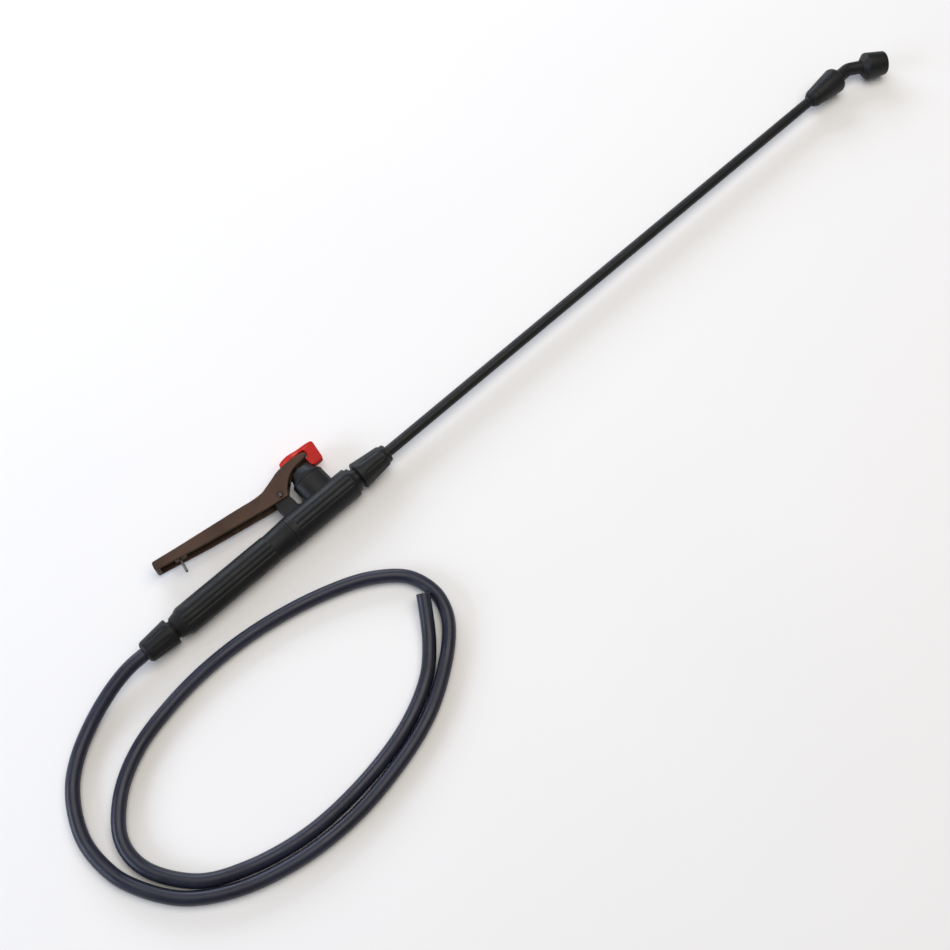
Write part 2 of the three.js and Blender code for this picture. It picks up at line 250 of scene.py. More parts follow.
def wire(name, path, radius, resolution, capped=False):
    """A round tube along the points of the path, capped at its ends or open."""
    curve = bpy.data.curves.new(name, "CURVE")
    curve.dimensions = "3D"
    spline = curve.splines.new("POLY")
    spline.points.add(len(path) - 1)
    for point, place in zip(spline.points, path):
        point.co = (*place, 1)
    curve.bevel_depth = radius * MM
    curve.bevel_resolution = resolution
    curve.use_fill_caps = capped
    obj = bpy.data.objects.new(name, curve)
    bpy.context.scene.collection.objects.link(obj)
    pick(obj)
    bpy.ops.object.convert(target="MESH")
    obj = bpy.context.object
    clean(obj)
    return obj


def swing(obj, degrees, centre):
    """Turns the piece's mesh about an upright line through the centre."""
    pick(obj)
    bpy.ops.object.mode_set(mode="EDIT")
    bpy.ops.mesh.select_all(action="SELECT")
    bpy.ops.transform.rotate(value=radians(degrees), orient_axis="Z", center_override=centre)
    bpy.ops.object.mode_set(mode="OBJECT")
    return obj


def with_rings(profile, *places):
    """The profile with extra points where it passes these places along the axis."""
    points = [profile[0]]
    for (r0, p0), (r1, p1) in zip(profile, profile[1:]):
        inside = sorted((p for p in places if min(p0, p1) < p < max(p0, p1)), reverse=p1 < p0)
        points += [(r0 + (r1 - r0) * (p - p0) / (p1 - p0), p) for p in inside] + [(r1, p1)]
    return points


def spread(first, last, count):
    return [first + (last - first) * i / (count - 1) for i in range(count)]


def thread(radius, depth, first, last, pitch):
    """Profile points of a fine thread's crests and roots, as rings."""
    turns = int(abs(last - first) / pitch)
    step = (last - first) / turns
    points = []
    for i in range(turns):
        p = first + i * step
        points += [(radius, p), (radius, p + step * 0.25), (radius - depth, p + step * 0.5),
                   (radius - depth, p + step * 0.7)]
    return points + [(radius, last)]


def press_grooves(obj, places, radius, centre, ends, outer, soften=0.12):
    """Sinks round-bottomed, round-ended grooves along a piece turned about the lance axis, at
    places given in degrees from straight up towards the lever. Each groove is the mark of a rod
    of that radius, whose middle lies at distance centre(x) from the axis. Only what lies outside
    outer is moved, and soften rounds the groove's edges over that many millimetres."""
    smallest, reach, steep = 0.004, 0.7, 60
    groups = {}
    for v in obj.data.vertices:
        y, z = v.co.y - AXIS_Y, v.co.z - AXIS_Z
        r, x = hypot(y, z) / MM, (v.co.x - NUT_X) / MM
        if r < outer or not ends[0] < x < ends[1]:
            continue
        turn = atan2(y, z)
        offset = min(abs((turn - radians(place) + pi) % (2 * pi) - pi) for place in places)
        near = min(x - ends[0], ends[1] - x, radius) / radius
        rod = radius * sqrt(1 - (1 - near) ** 2)
        side, deep = centre(x) * sin(min(offset, 1.5)), centre(x) * cos(offset)
        wall = deep + (side - rod) * 2 if side >= rod else deep - sqrt(rod**2 - side**2)
        sunk = r - soften * log(1 + exp(min((r - wall) / soften, steep)))
        if r - sunk > smallest and offset < reach:
            k = round(sunk / r, 4)
            groups.setdefault(((1, k, k), tuple(at(0))), []).append(v.index)
    resize_groups(obj, groups)


# ---------- materials ----------
class Nodes:
    """Short calls for building one material's nodes."""

    def __init__(self, name):
        self.material = bpy.data.materials.new(name)
        self.material.use_nodes = True
        self.tree = self.material.node_tree
        self.shader = self.tree.nodes["Principled BSDF"]
        self.place = self.add("ShaderNodeTexCoord").outputs["Object"]

    def add(self, kind, **inputs):
        node = self.tree.nodes.new(kind)
        for key, value in inputs.items():
            self.set(node.inputs[key.replace("_", " ")], value)
        return node

    def set(self, socket, value):
        if isinstance(value, bpy.types.NodeSocket):
            self.tree.links.new(value, socket)
        else:
            socket.default_value = value

    def noise(self, scale, detail, stretch=(1, 1, 1), turn=0.0):
        mapped = self.add("ShaderNodeMapping", Vector=self.place, Scale=stretch, Rotation=(0, 0, turn))
        node = self.add("ShaderNodeTexNoise", Vector=mapped.outputs[0], Scale=scale, Detail=detail)
        return node.outputs["Fac"]

    def ramp(self, value, low, high, start=0.0, end=1.0):
        node = self.add("ShaderNodeMapRange", Value=value)
        for key, number in (("From Min", low), ("From Max", high), ("To Min", start), ("To Max", end)):
            node.inputs[key].default_value = number
        return node.outputs[0]

    def times(self, a, b):
        node = self.tree.nodes.new("ShaderNodeMath")
        node.operation = "MULTIPLY"
        self.set(node.inputs[0], a)
        self.set(node.inputs[1], b)
        return node.outputs[0]

    def mix(self, amount, a, b):
        node = self.tree.nodes.new("ShaderNodeMix")
        node.data_type = "RGBA"
        self.set(node.inputs[0], amount)
        self.set(node.inputs[6], a if isinstance(a, bpy.types.NodeSocket) else (*a, 1))
        self.set(node.inputs[7], b if isinstance(b, bpy.types.NodeSocket) else (*b, 1))
        return node.outputs[2]

    def edges(self):
        sharp = self.tree.nodes.new("ShaderNodeNewGeometry").outputs["Pointiness"]
        return self.ramp(sharp, 0.52, 0.6)

    def bump(self, *heights):
        """heights are (value, strength, distance in millimetres)."""
        normal = None
        for value, strength, distance in heights:
            node = self.add("ShaderNodeBump", Height=value, Strength=strength, Distance=distance * MM)
            if normal:
                self.set(node.inputs["Normal"], normal)
            normal = node.outputs[0]
        self.set(self.shader.inputs["Normal"], normal)

    def finish(self, colour, roughness, **constants):
        self.set(self.shader.inputs["Base Color"], colour)
        self.set(self.shader.inputs["Roughness"], roughness)
        for key, value in constants.items():
            self.shader.inputs[key.replace("_", " ")].default_value = value
        return self.material


def moulded_plastic(name, dark, light, wear_and_edge_highlight, rough=(0.34, 0.5), grain=0.35, specular=0.21,
                    scuffs=0.5):
    """Satin moulded plastic: slow colour drift, fine grain, hairline scuffs, and paler sharp edges that
    are partly rubbed wear and partly a painted edge highlight.
    """
    n = Nodes(name)
    drift = n.ramp(n.noise(28, 5), 0.35, 0.68)
    colour = n.mix(drift, dark, light)
    hairlines = n.ramp(n.noise(420, 3, (0.06, 1, 1), 0.5), 0.66, 0.74)
    patches = n.ramp(n.noise(60, 4), 0.5, 0.66)
    scratched = n.times(hairlines, n.times(patches, scuffs))
    # paler sharp edges: partly rubbed wear, partly a painted highlight along every edge
    rubbed_and_highlit_edges = n.times(n.edges(), n.ramp(n.noise(190, 6), 0.42, 0.6, 0.15, 0.8))
    colour = n.mix(scratched, colour, wear_and_edge_highlight)
    # the worn colour is used for the scuffs and also for the painted edge highlight
    colour = n.mix(rubbed_and_highlit_edges, colour, wear_and_edge_highlight)
    roughness = n.ramp(n.noise(75, 6), 0.3, 0.7, *rough)
    n.bump((n.noise(1500, 3), grain, 0.05), (n.noise(45, 2), 0.12, 0.35), (scratched, -0.3, 0.04))
    return n.finish(colour, roughness, Specular_IOR_Level=specular)


MATERIALS = {
    "black_plastic": moulded_plastic("black plastic", (0.0085, 0.0095, 0.0095), (0.0135, 0.0135, 0.0135),
                                     (0.034, 0.033, 0.034), rough=(0.36, 0.5)),
    "grip_plastic": moulded_plastic("grip plastic", (0.0085, 0.0095, 0.0092), (0.014, 0.0138, 0.0135),
                                    (0.036, 0.035, 0.035), rough=(0.38, 0.54), grain=0.5),
    "lever_plastic": moulded_plastic("lever plastic", (0.05, 0.028, 0.018), (0.085, 0.047, 0.03),
                                     (0.14, 0.1, 0.075), rough=(0.42, 0.6), grain=0.45,
                                     specular=0.15, scuffs=0.7),
    "red_plastic": moulded_plastic("red plastic", (0.44, 0.012, 0.009), (0.56, 0.02, 0.014),
                                   (0.68, 0.09, 0.07), rough=(0.36, 0.5), grain=0.25,
                                   specular=0.12, scuffs=0.35),
    "white_plastic": moulded_plastic("white plastic", (0.62, 0.61, 0.57), (0.72, 0.71, 0.68),
                                     (0.5, 0.47, 0.4)),
    "seal_rubber": moulded_plastic("seal rubber", (0.006, 0.006, 0.006), (0.012, 0.012, 0.012),
                                   (0.03, 0.03, 0.03), rough=(0.65, 0.85), grain=0.6, specular=0.1),
}


def hose_pvc():
    """Soft dark blue-black PVC with a slight bloom, dust and long rub marks."""
    n = Nodes("hose pvc")
    drift = n.ramp(n.noise(22, 5), 0.35, 0.65)
    colour = n.mix(drift, (0.0085, 0.0098, 0.02), (0.0145, 0.0165, 0.034))
    bloom = n.times(n.ramp(n.noise(90, 8), 0.52, 0.75), 0.4)
    colour = n.mix(bloom, colour, (0.03, 0.03, 0.042))
    roughness = n.ramp(n.noise(55, 6), 0.3, 0.7, 0.32, 0.48)
    n.bump((n.noise(900, 4), 0.25, 0.05), (n.noise(70, 2), 0.2, 0.25))
    return n.finish(colour, roughness, Specular_IOR_Level=0.42)


def drawn_steel():
    """Plated steel wire and pins, faintly streaked and dulled."""
    n = Nodes("drawn steel")
    dull = n.ramp(n.noise(140, 7), 0.45, 0.68)
    colour = n.mix(dull, (0.13, 0.13, 0.125), (0.06, 0.056, 0.05))
    roughness = n.ramp(n.noise(300, 5, (1, 0.15, 1)), 0.3, 0.7, 0.25, 0.5)
    n.bump((n.noise(1200, 3, (1, 0.1, 1)), 0.2, 0.03),)
    return n.finish(colour, roughness, Metallic=0.9)


def studio_floor():
    """Matt pale board with a hardly seen cloudiness."""
    n = Nodes("pale floor")
    colour = n.mix(n.ramp(n.noise(3, 4), 0.3, 0.7), (0.89, 0.875, 0.855), (0.905, 0.89, 0.87))
    n.bump((n.noise(600, 3), 0.05, 0.05),)
    roughness = n.ramp(n.noise(9, 3), 0.3, 0.7, 0.75, 0.85)
    return n.finish(colour, roughness, Specular_IOR_Level=0.2)


MATERIALS["hose_pvc"] = hose_pvc()
MATERIALS["steel"] = drawn_steel()


def finish_piece(obj, slot, body, *nodes):
    obj.data.materials.clear()
    obj.data.materials.append(MATERIALS[slot])
    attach(obj, body)
    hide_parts(*nodes)


# ---------- hose ----------
HOSE_R = 6
HOSE_BORE_R = 4
HOSE_ROUTE = [                         # centre line in metres, from inside the rear nut to the cut end
    (-0.4526, -0.0140, 0.0141), (-0.4665, -0.0140, 0.0141), (-0.4830, -0.0144, 0.0138),
    (-0.5001, -0.0172, 0.0122), (-0.5184, -0.0224, 0.0097), (-0.5372, -0.0300, 0.0074),
    (-0.5564, -0.0410, 0.0063), (-0.5739, -0.0565, 0.0060), (-0.5867, -0.0768, 0.0060),
    (-0.5945, -0.1000, 0.0060), (-0.5949, -0.1243, 0.0060), (-0.5896, -0.1474, 0.0060),
    (-0.5661, -0.1854, 0.0060), (-0.5317, -0.2099, 0.0060), (-0.4840, -0.2259, 0.0060),
    (-0.4320, -0.2313, 0.0060), (-0.3794, -0.2259, 0.0060), (-0.3271, -0.2111, 0.0060),
    (-0.2855, -0.1862, 0.0060), (-0.2646, -0.1668, 0.0060), (-0.2563, -0.1528, 0.0060),
    (-0.2529, -0.1355, 0.0060), (-0.2599, -0.1114, 0.0060), (-0.2850, -0.0894, 0.0060),
    (-0.3246, -0.0726, 0.0060), (-0.3780, -0.0600, 0.0060), (-0.4280, -0.0561, 0.0060),
    (-0.4750, -0.0598, 0.0060), (-0.5194, -0.0709, 0.0060), (-0.5522, -0.0911, 0.0060),
    (-0.5725, -0.1190, 0.0060), (-0.5728, -0.1473, 0.0060), (-0.5487, -0.1842, 0.0060),
    (-0.5143, -0.2035, 0.0060), (-0.4621, -0.2165, 0.0060), (-0.4023, -0.2162, 0.0060),
    (-0.3464, -0.2051, 0.0060), (-0.3075, -0.1862, 0.0060), (-0.2870, -0.1670, 0.0066),
    (-0.2721, -0.1471, 0.0096), (-0.2627, -0.1327, 0.0134),
]
HOSE_NUT_END_X = -268.5


def make_hose():
    path = flow(HOSE_ROUTE, 12)
    hose = wire("hose_tube", path, HOSE_R, 6)
    modify(hose, "SOLIDIFY", thickness=(HOSE_R - HOSE_BORE_R) * MM, offset=-1, use_rim=True)
    round_edges(hose, 0.35, 60, 2)
    smooth(hose, 50)
    finish_piece(hose, "hose_pvc", "handle", "hose")


make_hose()


# ---------- floor and lights ----------
def add_floor():
    deselect()
    bpy.ops.mesh.primitive_plane_add(size=12)
    ground = bpy.context.object
    ground.name = "floor"
    ground.data.materials.append(studio_floor())


def add_softbox(name, place, target, size, power, colour):
    bpy.ops.object.light_add(type="AREA", location=place)
    light = bpy.context.object
    light.name = name
    light.data.shape = "RECTANGLE"
    light.data.size, light.data.size_y = size
    light.data.energy = power
    light.data.color = colour
    light.rotation_euler = (Vector(target) - Vector(place)).to_track_quat("-Z", "Y").to_euler()


def add_sky(colour, strength):
    world = bpy.data.worlds.new("studio")
    bpy.context.scene.world = world
    world.use_nodes = True
    background = world.node_tree.nodes["Background"]
    background.inputs["Color"].default_value = (*colour, 1)
    background.inputs["Strength"].default_value = strength


add_floor()
add_softbox("key", place=(0.5, 2.3, 1.0), target=(-0.1, 0, 0), size=(2.6, 1.0), power=50,
            colour=(0.76, 0.84, 1.0))
add_softbox("side", place=(-2.5, 0.9, 1.0), target=(-0.4, -0.1, 0), size=(2.0, 0.9), power=38,
            colour=(0.7, 0.8, 1.0))
add_softbox("top", place=(0.35, -0.2, 2.6), target=(0, 0, 0), size=(2.2, 2.6), power=48,
            colour=(1.0, 0.95, 0.88))
add_sky(colour=(0.97, 0.98, 1.0), strength=0.22)


# ---------- valve body ----------
BODY_R = 14.1
BODY_X = (-110.8, -38)
SPIGOT_R = 9.2
BONNET_X = -67.7                       # valve stem axis
BONNET_R = 15.6                        # half length of the oval boss along the lance
BOSS_HALF = 10.8                       # its half width across
BOSS_TOP_Y = 27.6
DOME_Y = 28.5                          # where the oval nut's dome starts
CHAMBER_R = 7.8
FLOW_R = 3.5                           # bores that the liquid runs through
LUG_HALF = 5.5
WEB_HALF = 3
WEB_NOTCH = (-86.5, 17, 3.2)           # middle and radius of the hollow between lug and boss
PIVOT = (-96.1, 30)
PIVOT_R = 2
# degrees from straight up towards the lever, the same on the underside
FLUTES = (-37, -17, 3)
FLUTE_R = 1.5                          # each flute is the mark of a rod of this radius
FLUTE_OUT = 0.75                       # how far outside the surface the rod's middle lies
BODY_GROOVES = (-104.5, -42.8)
BODY_GROOVE_TURN = 5                   # the body's flutes lie this much further round


def press_flutes(obj, body_r, ends, outer, turn=0):
    places = [deg + turn for deg in FLUTES] + [180 - deg - turn for deg in FLUTES]
    press_grooves(obj, places, FLUTE_R, lambda x: body_r + FLUTE_OUT, ends, outer)


def narrowed(obj):
    """Brings a round piece on the stem's axis to the boss's oval, which gets rounder over the boss."""
    groups = {}
    for v in obj.data.vertices:
        over = min(max((v.co.y - AXIS_Y) / MM - DOME_Y, 0) / 4, 1)
        k = round(BOSS_HALF / BONNET_R + 0.15 * over, 3)
        groups.setdefault(((1, 1, k), tuple(at(BONNET_X))), []).append(v.index)
    resize_groups(obj, groups)
    return obj


def on_stem(name, profile, sides):
    """A piece turned on the valve stem's axis."""
    return turned(name, profile, "Y", (BONNET_X, 0, 0), sides)


def on_pivot(name, profile, sides):
    """A piece turned on the lever's pivot."""
    return turned(name, profile, "Z", (*PIVOT, 0), sides)


def make_body_shell():
    x0, x1 = BODY_GROOVES
    rings = spread(x0, x0 + 1.6, 6) + spread(x0 + 8, x1 - 8, 5) + spread(x1 - 1.6, x1, 6)
    barrel = [(9.6, BODY_X[0]), (13.6, BODY_X[0]), (14, -110.6), (BODY_R, -110.1), (BODY_R, -42.3)]
    front_step = [(13.8, -41.7), (12.5, -41), (12.15, -40.5), (12.1, -38.8), (11.8, -38.2),
                  (11.4, BODY_X[1]), (SPIGOT_R, BODY_X[1]), (SPIGOT_R, -36.4)]
    rear_thread = thread(9.5, 0.6, -124, -112, 2)
    front_thread = thread(SPIGOT_R, 0.7, -36.2, -12.5, 2) + [(8.6, -12)]
    profile = rear_thread + barrel + front_step + front_thread
    body = turned("valve_body_shell", with_rings(profile, *rings), sides=240)
    press_flutes(body, BODY_R, BODY_GROOVES, 12, BODY_GROOVE_TURN)
    return body


def make_valve_body():
    body = make_body_shell()
    boss = narrowed(on_stem("boss", [(BONNET_R, 0), (BONNET_R, BOSS_TOP_Y - 0.35),
                                     (BONNET_R - 0.35, BOSS_TOP_Y)], 128))
    lug = plate("lug", [(-105.2, 8), (-105.2, 28, 3), (-102, 33.5, 3), (-98.5, 35.5, 2),
                        (-93.5, 35.5, 2), (-90.3, 32, 2), (-89.7, 8)], LUG_HALF)
    round_edges(lug, 0.7, 50)
    x, y, r = WEB_NOTCH
    notch = [(x - r * cos(a), y - r * sin(a)) for a in spread(0, pi, 14)]
    web = plate("web", [(-92, 8), (-92, y)] + notch + [(-80, y), (-80, 8)], WEB_HALF)
    weld(body, boss, lug, web)
    chamber = [(3, 0), (3, 5.4), (CHAMBER_R, 5.9), (CHAMBER_R, 20), (9.2, 20), (9.2, 29)]
    carve(body,
          on_stem("chamber_tool", chamber, 64),
          turned("riser", [(1.6, 0), (1.6, 6.5)], "Y", (BONNET_X - 6.2, 0, 0), 24),
          turned("supply_bore", [(FLOW_R, -125), (FLOW_R, -73.5)], sides=32),
          turned("delivery_bore", [(FLOW_R, -71.3), (FLOW_R, -31)], sides=32),
          turned("wand_socket", [(5.2, -32.3), (5.2, -8)], sides=48),
          on_pivot("pivot_hole", [(PIVOT_R + 0.05, -9), (PIVOT_R + 0.05, 9)], 40))
    smooth(body, 34)
    finish_piece(body, "black_plastic", "handle", "valve_body")


def make_bonnet_nut():
    rim = [(15.2, BOSS_TOP_Y + 0.1), (BONNET_R, 28), (BONNET_R, DOME_Y)]
    dome = [(15.3, 29), (12.5, 32.4), (12.1, 33.1), (11.5, 36.4), (10.9, 37.6), (10.1, 38.3),
            (9.2, 38.5)]
    nut = narrowed(on_stem("bonnet_cap", rim + dome, 128))
    weld(nut, on_stem("bonnet_thread", [(8.9, 20.6), (8.9, 29)], 96))
    carve(nut,
          on_stem("spring_pocket", [(6.6, 20), (6.6, 33)], 64),
          on_stem("stem_bore", [(3.35, 32), (3.35, 39)], 48),
          on_stem("seal_groove", [(5.1, 34), (5.1, 36.2)], 48))
    smooth(nut, 40)
    finish_piece(nut, "black_plastic", "handle", "bonnet_nut")


def make_pivot_pin():
    end = [(0.3, 8.6), (0.9, 8.55), (1.5, 8.35), (1.85, 8), (PIVOT_R, 7.6)]
    pin = on_pivot("pivot_rivet", [(r, -z) for r, z in end] + end[::-1], 48)
    smooth(pin, 50)
    finish_piece(pin, "steel", "handle", "pivot_pin")


make_valve_body()
make_bonnet_nut()
make_pivot_pin()

# ---------- stem, spring and head ----------
STEM_R = 3
HEAD_UNDER_Y = 50.4
HEAD_HALF = 6.5
LEG_TOP_Y = 49                         # the head's leg thins to half from here down
LEG_DROP = 15.4


def make_stem():
    holder = [(6.3, 8.2), (6.5, 8.4), (6.5, 10.2), (6.3, 10.4)]
    rod = [(STEM_R, 10.4), (STEM_R, 52.4), (2.8, 52.8), (2.5, 53)]
    stem = on_stem("stem_rod", holder + rod, 64)
    smooth(stem, 40)
    finish_piece(stem, "steel", "stem", "valve_stem")


def make_spring():
    """Six even turns of wire, drawn at one fixed length."""
    turns, low, high, coil_r, wire_r = 6, 11.4, 32.1, 5, 0.7
    path = []
    for share in spread(0, 1, turns * 28 + 1):
        a = 2 * pi * turns * share
        path.append(at(BONNET_X + coil_r * cos(a), low + (high - low) * share, coil_r * sin(a)))
    spring = wire("spring_coil", path, wire_r, 2, capped=True)
    smooth(spring, 60)
    finish_piece(spring, "steel", "handle", "valve_spring")
    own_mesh(spring)


def make_head():
    """A flat cap over the fork with a leg that thins as it drops in front of the boss."""
    top = [(-79.2, HEAD_UNDER_Y, 0.8), (-78.6, 53.6, 1.6), (-76, 54.6)] + flow(
        [(-74, 55), (-69, 55.6), (-64.5, 55.2), (-60.2, 54.4), (-49.6, 53.7)], 3)
    front = [(-42.3, 52.6, 2.6), (-45.0, 33.6, 2.2)]
    under = flow([(-50.2, 33.8), (-54, 33.9), (-57.6, 34.6), (-60.3, 36), (-61.3, 38.4),
                  (-59.5, 41.4), (-55.4, 43.6), (-53.6, 45.9), (-53.4, 49.2)], 4)
    head = plate("red_cap", top + front + under + [(-54.6, HEAD_UNDER_Y)], HEAD_HALF)
    groups = {}
    for v in head.data.vertices:
        y = (v.co.y - AXIS_Y) / MM
        if y < LEG_TOP_Y:
            k = round(1 - 0.5 * (LEG_TOP_Y - y) / LEG_DROP, 3)
            groups.setdefault(((1, 1, k), tuple(at(BONNET_X))), []).append(v.index)
    resize_groups(head, groups)
    round_edges(head, 1.2, 50, 4)
    carve(head,
          on_stem("head_pocket", [(16.2, 20), (16.2, 29.4), (11.8, 36), (11.2, 45.5)], 96),
          on_stem("head_hole", [(STEM_R, 40), (STEM_R, 53)], 64))
    smooth(head, 34)
    finish_piece(head, "red_plastic", "stem", "stem_head")


make_stem()
make_spring()
make_head()

# ---------- lever ----------
LEVER_HALF = 8
LEVER_WALL = 2
FORK_GAP = 3.7                         # half the slot that the stem stands in
FORK_END_X = -76
CROWN_X, CROWN_Y, CROWN_R = -72, 50.1, 82


def crown(x):
    """Height of the fork's rounded back, which the red head rides on."""
    return CROWN_Y - CROWN_R + sqrt(CROWN_R**2 - (x - CROWN_X) ** 2)


LEVER_BACK = [(-216, 57.1), (-193, 53.6), (-171.2, 50.6), (-149, 47.6), (-128.9, 44.8), (-119, 43.2),
              (-111.8, 42.6), (-106.5, 42.7), (-101.5, 44), (-93, 46.6)]


def make_lever():
    back = flow(LEVER_BACK + [(x, crown(x)) for x in (-85.2, -79, -72, -65, -59)], 4)
    nose = flow([(-59, crown(-59)), (-56.4, 48.2), (-54.6, 46.6), (-54.9, 44.6), (-57.4, 43.4),
                 (-63.5, 42.8), (-72.5, 41.4), (-78.9, 38.5), (-83.5, 34.7), (-88.2, 30),
                 (-91.2, 25.6)], 5)
    belly = flow([(-102, 26.2), (-127.9, 30.9), (-170.5, 38.8), (-197.3, 44.7), (-216.5, 48.9)], 3)
    tail_top, heel, tail_low = (-216, 57.1, 2.2), (-91.4, 25.2, 0.8), (-218.1, 49.3, 2.2)
    outline = [tail_top] + back[2:-1] + nose[:-1] + [heel] + belly[1:-1] + [tail_low]
    lever = plate("squeeze_lever", outline, LEVER_HALF)
    round_edges(lever, 1.1, 50, 4)
    ceiling = [(x, y - 2.2) for x, y in LEVER_BACK[1:]]
    channel = [(-213.6, 54.3, 1)] + ceiling + [(-82, 46.8, 1), (-82, 20), (-213.6, 20)]
    carve(lever, plate("channel_tool", channel, LEVER_HALF - LEVER_WALL))
    pin_boss = [(-200, 53.4), (-200, 46.4, 0.8), (-189, 44.2, 0.8), (-189, 51.8)]
    weld(lever, plate("pin_boss", pin_boss, 3.2))
    slot = [(FORK_END_X, 60), (FORK_END_X, 30), (-40, 30), (-40, 60)]
    dishes = [[(3.4, side * 7.5), (3.9, side * 9)] for side in (-1, 1)]
    carve(lever,
          plate("fork_tool", slot, FORK_GAP),
          turned("fork_end_tool", [(FORK_GAP, 30), (FORK_GAP, 60)], "Y", (FORK_END_X, 0, 0), 48),
          on_pivot("pivot_tool", [(PIVOT_R + 0.3, -9), (PIVOT_R + 0.3, 9)], 48),
          *[on_pivot("pivot_dish", dish, 48) for dish in dishes])
    smooth(lever, 34)
    finish_piece(lever, "lever_plastic", "lever", "lever")


def make_stop_pin():
    tip, slope = (-198.2, 32.6), 12
    pin = turned("stop_rod", [(0.5, 0), (1, 0.2), (1.2, 0.6), (1.2, 17)], "Y", (*tip, 0), 32)
    swing(pin, slope, at(*tip))
    smooth(pin, 50)
    finish_piece(pin, "steel", "lever", "stop_pin")


make_lever()
make_stop_pin()

# ---------- grip ----------
GRIP_R = 13.3
GRIP_X = (-229, -133.1)


def make_grip():
    x0, x1 = GRIP_X
    rings = spread(x0 - 0.6, x0 + 2.6, 6) + spread(x0 + 12, x1 - 12, 5) + spread(x1 - 2, x1 + 1.6, 7)
    tail = [(8.4, -250.3)] + thread(9, 0.7, -249.8, -237.2, 2) + [(9, -236.6), (10, -236.3)]
    ribs = [(11.8, -229.5), (12.2, -229.2), (GRIP_R - 0.5, -227.4), (GRIP_R, -226.4),
            (GRIP_R, x1 - 0.7), (GRIP_R - 0.2, x1), (12.75, x1 + 0.9)]
    collar = [(13.1, -125), (BODY_R - 0.25, -112.4), (BODY_R, -111.8), (BODY_R - 0.1, -111.2),
              (BODY_R - 0.5, -110.9)]
    bore = [(9.9, -110.9), (9.9, -126), (8, -126), (8, -212), (3.6, -212), (3.6, -250.3)]
    grip = turned("grip_sleeve", with_rings(tail + ribs + collar + bore, *rings), sides=240, hollow=True)
    press_flutes(grip, GRIP_R, (x0 - 1.4, x1 + 1.6), 11.5)
    smooth(grip, 34)
    finish_piece(grip, "grip_plastic", "handle", "grip_body")


make_grip()


# ---------- union nuts ----------
SCALLOP_R = 3.4                        # each scallop is the mark of a rod of this radius
SCALLOP_OUT = 3.15                     # how far outside the nut the rod's middle lies


def make_nut(name, outside, inside, node, cone=None):
    """cone is the (x, radius) of both ends of the eight shallow scallops, if the nut has them."""
    profile = with_rings(outside, *spread(cone[0][0], cone[1][0], 26)) if cone else outside
    nut = turned(name, profile + inside, sides=160, hollow=True)
    if cone:
        (x0, r0), (x1, r1) = cone
        slope = (r1 - r0) / (x1 - x0)
        press_grooves(nut, range(16, 376, 45), SCALLOP_R,
                      lambda x: r0 + slope * (x - x0) + SCALLOP_OUT, (x0, x1), 9.6, 0.2)
    smooth(nut, 34)
    finish_piece(nut, "black_plastic", node, node)


make_nut("lance_union",
         outside=[(9.5, -33.4), (12.6, -33.4), (13, -33.1), (13.1, -32.5), (12.3, -25.6),
                  (10.1, -5.2), (9.9, -4.7), (8.9, -3.4), (8.7, -2.8), (8.5, -0.4), (8.1, 0),
                  (5.7, 0), (5.3, -0.4)],
         inside=[(5.3, -7.6), (9.5, -7.6)],
         node="lance_nut", cone=((-30.5, 12.87), (-5.5, 10.1)))
make_nut("hose_union",
         outside=[(7.2, HOSE_NUT_END_X), (8.2, -268.1), (9.6, -267), (10.1, -265.8),
                  (10.4, -264.2), (12.5, -241), (12.5, -240.2), (12.1, -239.6), (9.4, -239.6)],
         inside=[(9.3, -240), (9.3, -255.2), (6.35, -255.2), (6.35, -268.2),
                 (6.8, HOSE_NUT_END_X)],
         node="hose_nut", cone=((-264, 10.42), (-242, 12.42)))
make_nut("nozzle_union",
         outside=[(5.9, 567), (6.6, 567.5), (8.6, 570.6), (9, 572), (12.9, 603.2), (12.9, 604.4),
                  (12.4, 605.4), (9.3, 605.4)],
         inside=[(9.3, 573.4), (5.3, 573.4), (5.3, 567)],
         node="nozzle_nut")

# ---------- wand and nozzle ----------
WAND_X = (-32, 594)
WAND_R = 5
WAND_BORE_R = 4
ELBOW_R = 6.5
BEND_X = 625
ELBOW_DEG = 30
CAP_START = 13.7                       # along the nozzle axis from the bend


def make_wand():
    x0, x1 = WAND_X
    outside = [(4.3, x0), (4.7, x0), (WAND_R, x0 + 0.4), (WAND_R, x1 - 0.4), (4.7, x1), (4.3, x1)]
    bore = [(WAND_BORE_R, x1 - 0.4), (WAND_BORE_R, x0 + 0.4)]
    profile = with_rings(outside + bore, *spread(x0 + 20, x1 - 20, 24))
    wand = turned("wand_pipe", profile, sides=64, hollow=True)
    smooth(wand, 50)
    finish_piece(wand, "black_plastic", "wand", "wand_tube")


def slanted(name, profile, sides, hollow=False):
    """A piece turned on the nozzle's slanted axis, with its places counted from the bend."""
    profile = [(r, BEND_X + p) for r, p in profile]
    return swing(turned(name, profile, sides=sides, hollow=hollow), ELBOW_DEG, at(BEND_X))


def pick_end_face(obj, x):
    """Enters edit mode with only the flat face at that place selected."""
    pick(obj)
    bpy.ops.object.mode_set(mode="EDIT")
    bpy.ops.mesh.select_mode(type="FACE")
    bpy.ops.mesh.select_all(action="DESELECT")
    bpy.ops.object.mode_set(mode="OBJECT")
    vertices = obj.data.vertices
    for face in obj.data.polygons:
        face.select = all(abs(vertices[i].co.x - at(x).x) < 1e-6 for i in face.vertices)
    bpy.ops.object.mode_set(mode="EDIT")


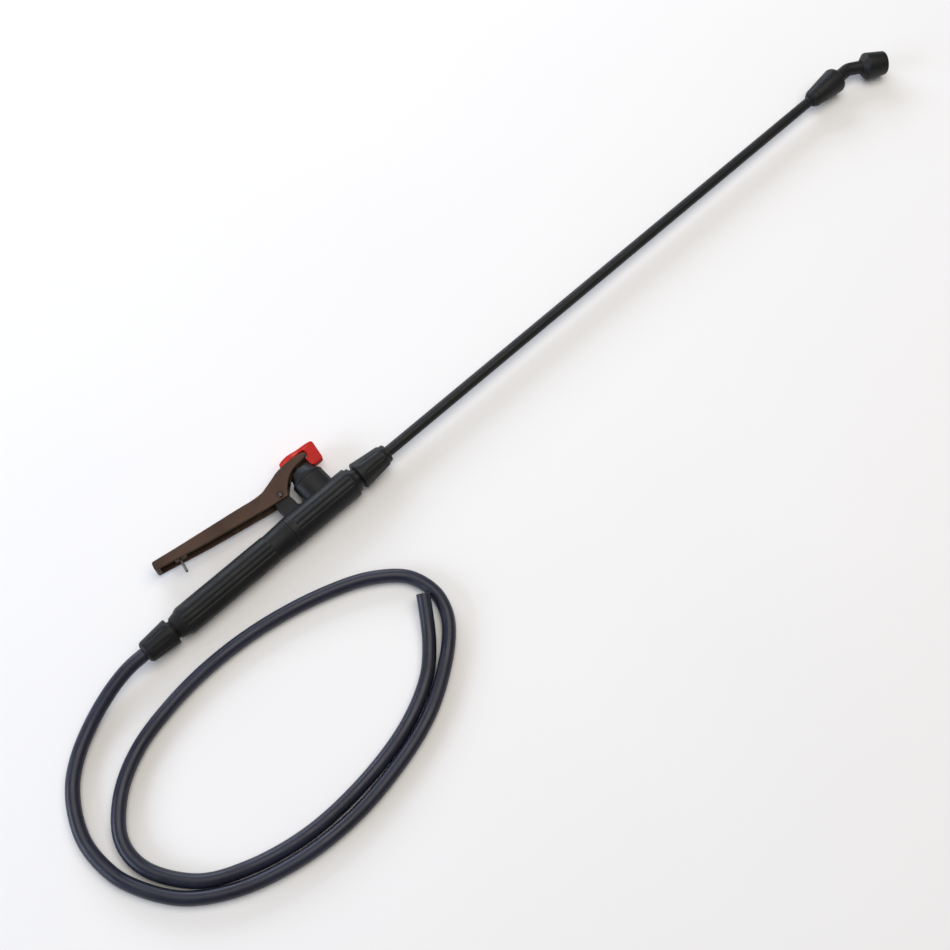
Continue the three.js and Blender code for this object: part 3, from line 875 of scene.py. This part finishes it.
def make_elbow():
    bend_r, steps = 12, 10
    setback = bend_r * tan(radians(ELBOW_DEG / 2))
    flange = [(12.2, 605.7), (12.3, 606), (11.9, 606.6), (8.2, 609), (7, 609.9), (6.7, 610.4)]
    elbow = turned("angle_piece", [(9, 577.5), (9, 605.7)] + flange + [
        (ELBOW_R, 611), (ELBOW_R, BEND_X - setback)])
    pick_end_face(elbow, BEND_X - setback)
    for _ in range(steps):
        bpy.ops.mesh.extrude_region_move()
        bpy.ops.transform.rotate(value=radians(ELBOW_DEG / steps), orient_axis="Z",
                                 center_override=at(BEND_X - setback, -bend_r))
    way = Vector((cos(radians(ELBOW_DEG)), -sin(radians(ELBOW_DEG)), 0))
    places = [(ELBOW_R, setback), (ELBOW_R, CAP_START + 1.8), (8.2, CAP_START + 2.8),
              (8.2, CAP_START + 19)]
    for (r0, p0), (r1, p1) in zip(places, places[1:]):
        bpy.ops.mesh.extrude_region_move(TRANSFORM_OT_translate={"value": way * (p1 - p0) * MM})
        bpy.ops.transform.resize(value=(r1 / r0,) * 3, center_override=at(BEND_X) + way * p1 * MM)
    bpy.ops.object.mode_set(mode="OBJECT")
    clean(elbow)
    carve(elbow,
          turned("wand_seat", [(5.1, 570), (5.1, 594.3)], sides=48),
          turned("inlet_bore", [(3, 590), (3, 624)], sides=32),
          slanted("outlet_bore", [(3, 0), (3, 50)], 32),
          slanted("core_seat", [(5.3, CAP_START + 9), (5.3, 50)], 40))
    smooth(elbow, 34)
    finish_piece(elbow, "black_plastic", "wand", "nozzle_elbow")


def make_nozzle_cap():
    c = CAP_START
    shoulder = [(6.8, c + 0.2), (7, c), (7.6, c + 0.3), (8, c + 0.7), (12.1, c + 3.9),
                (12.9, c + 4.7), (13.2, c + 5.6), (13.2, c + 6.4)]
    front = [(11.8, c + 23.6), (11.5, c + 24.8), (10.9, c + 25.6), (10, c + 26)]
    mouth = [(3.8, c + 26), (3.4, c + 25.7), (0.9, c + 23.2), (0.7, c + 22.8)]
    inside = [(0.7, c + 21.1), (8.5, c + 21.1), (8.5, c + 1.4), (6.8, c + 0.8)]
    cap = slanted("spray_cap", shoulder + front + mouth + inside, 128, hollow=True)
    smooth(cap, 30)
    finish_piece(cap, "black_plastic", "nozzle_cap", "nozzle_cap")


make_wand()
make_elbow()
make_nozzle_cap()

# ---------- inner pieces kept as packed ----------
INNER = {"stem_oring": "seal_rubber", "valve_disc": "seal_rubber", "grip_seal": "seal_rubber",
         "strainer": "white_plastic", "lance_seal": "seal_rubber", "hose_gasket": "seal_rubber",
         "hose_barb": "white_plastic", "nozzle_seal": "seal_rubber", "swirl_core": "white_plastic",
         "nozzle_gasket": "seal_rubber"}
for node, slot in INNER.items():
    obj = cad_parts[node]
    obj.data.materials.clear()
    obj.data.materials.append(MATERIALS[slot])
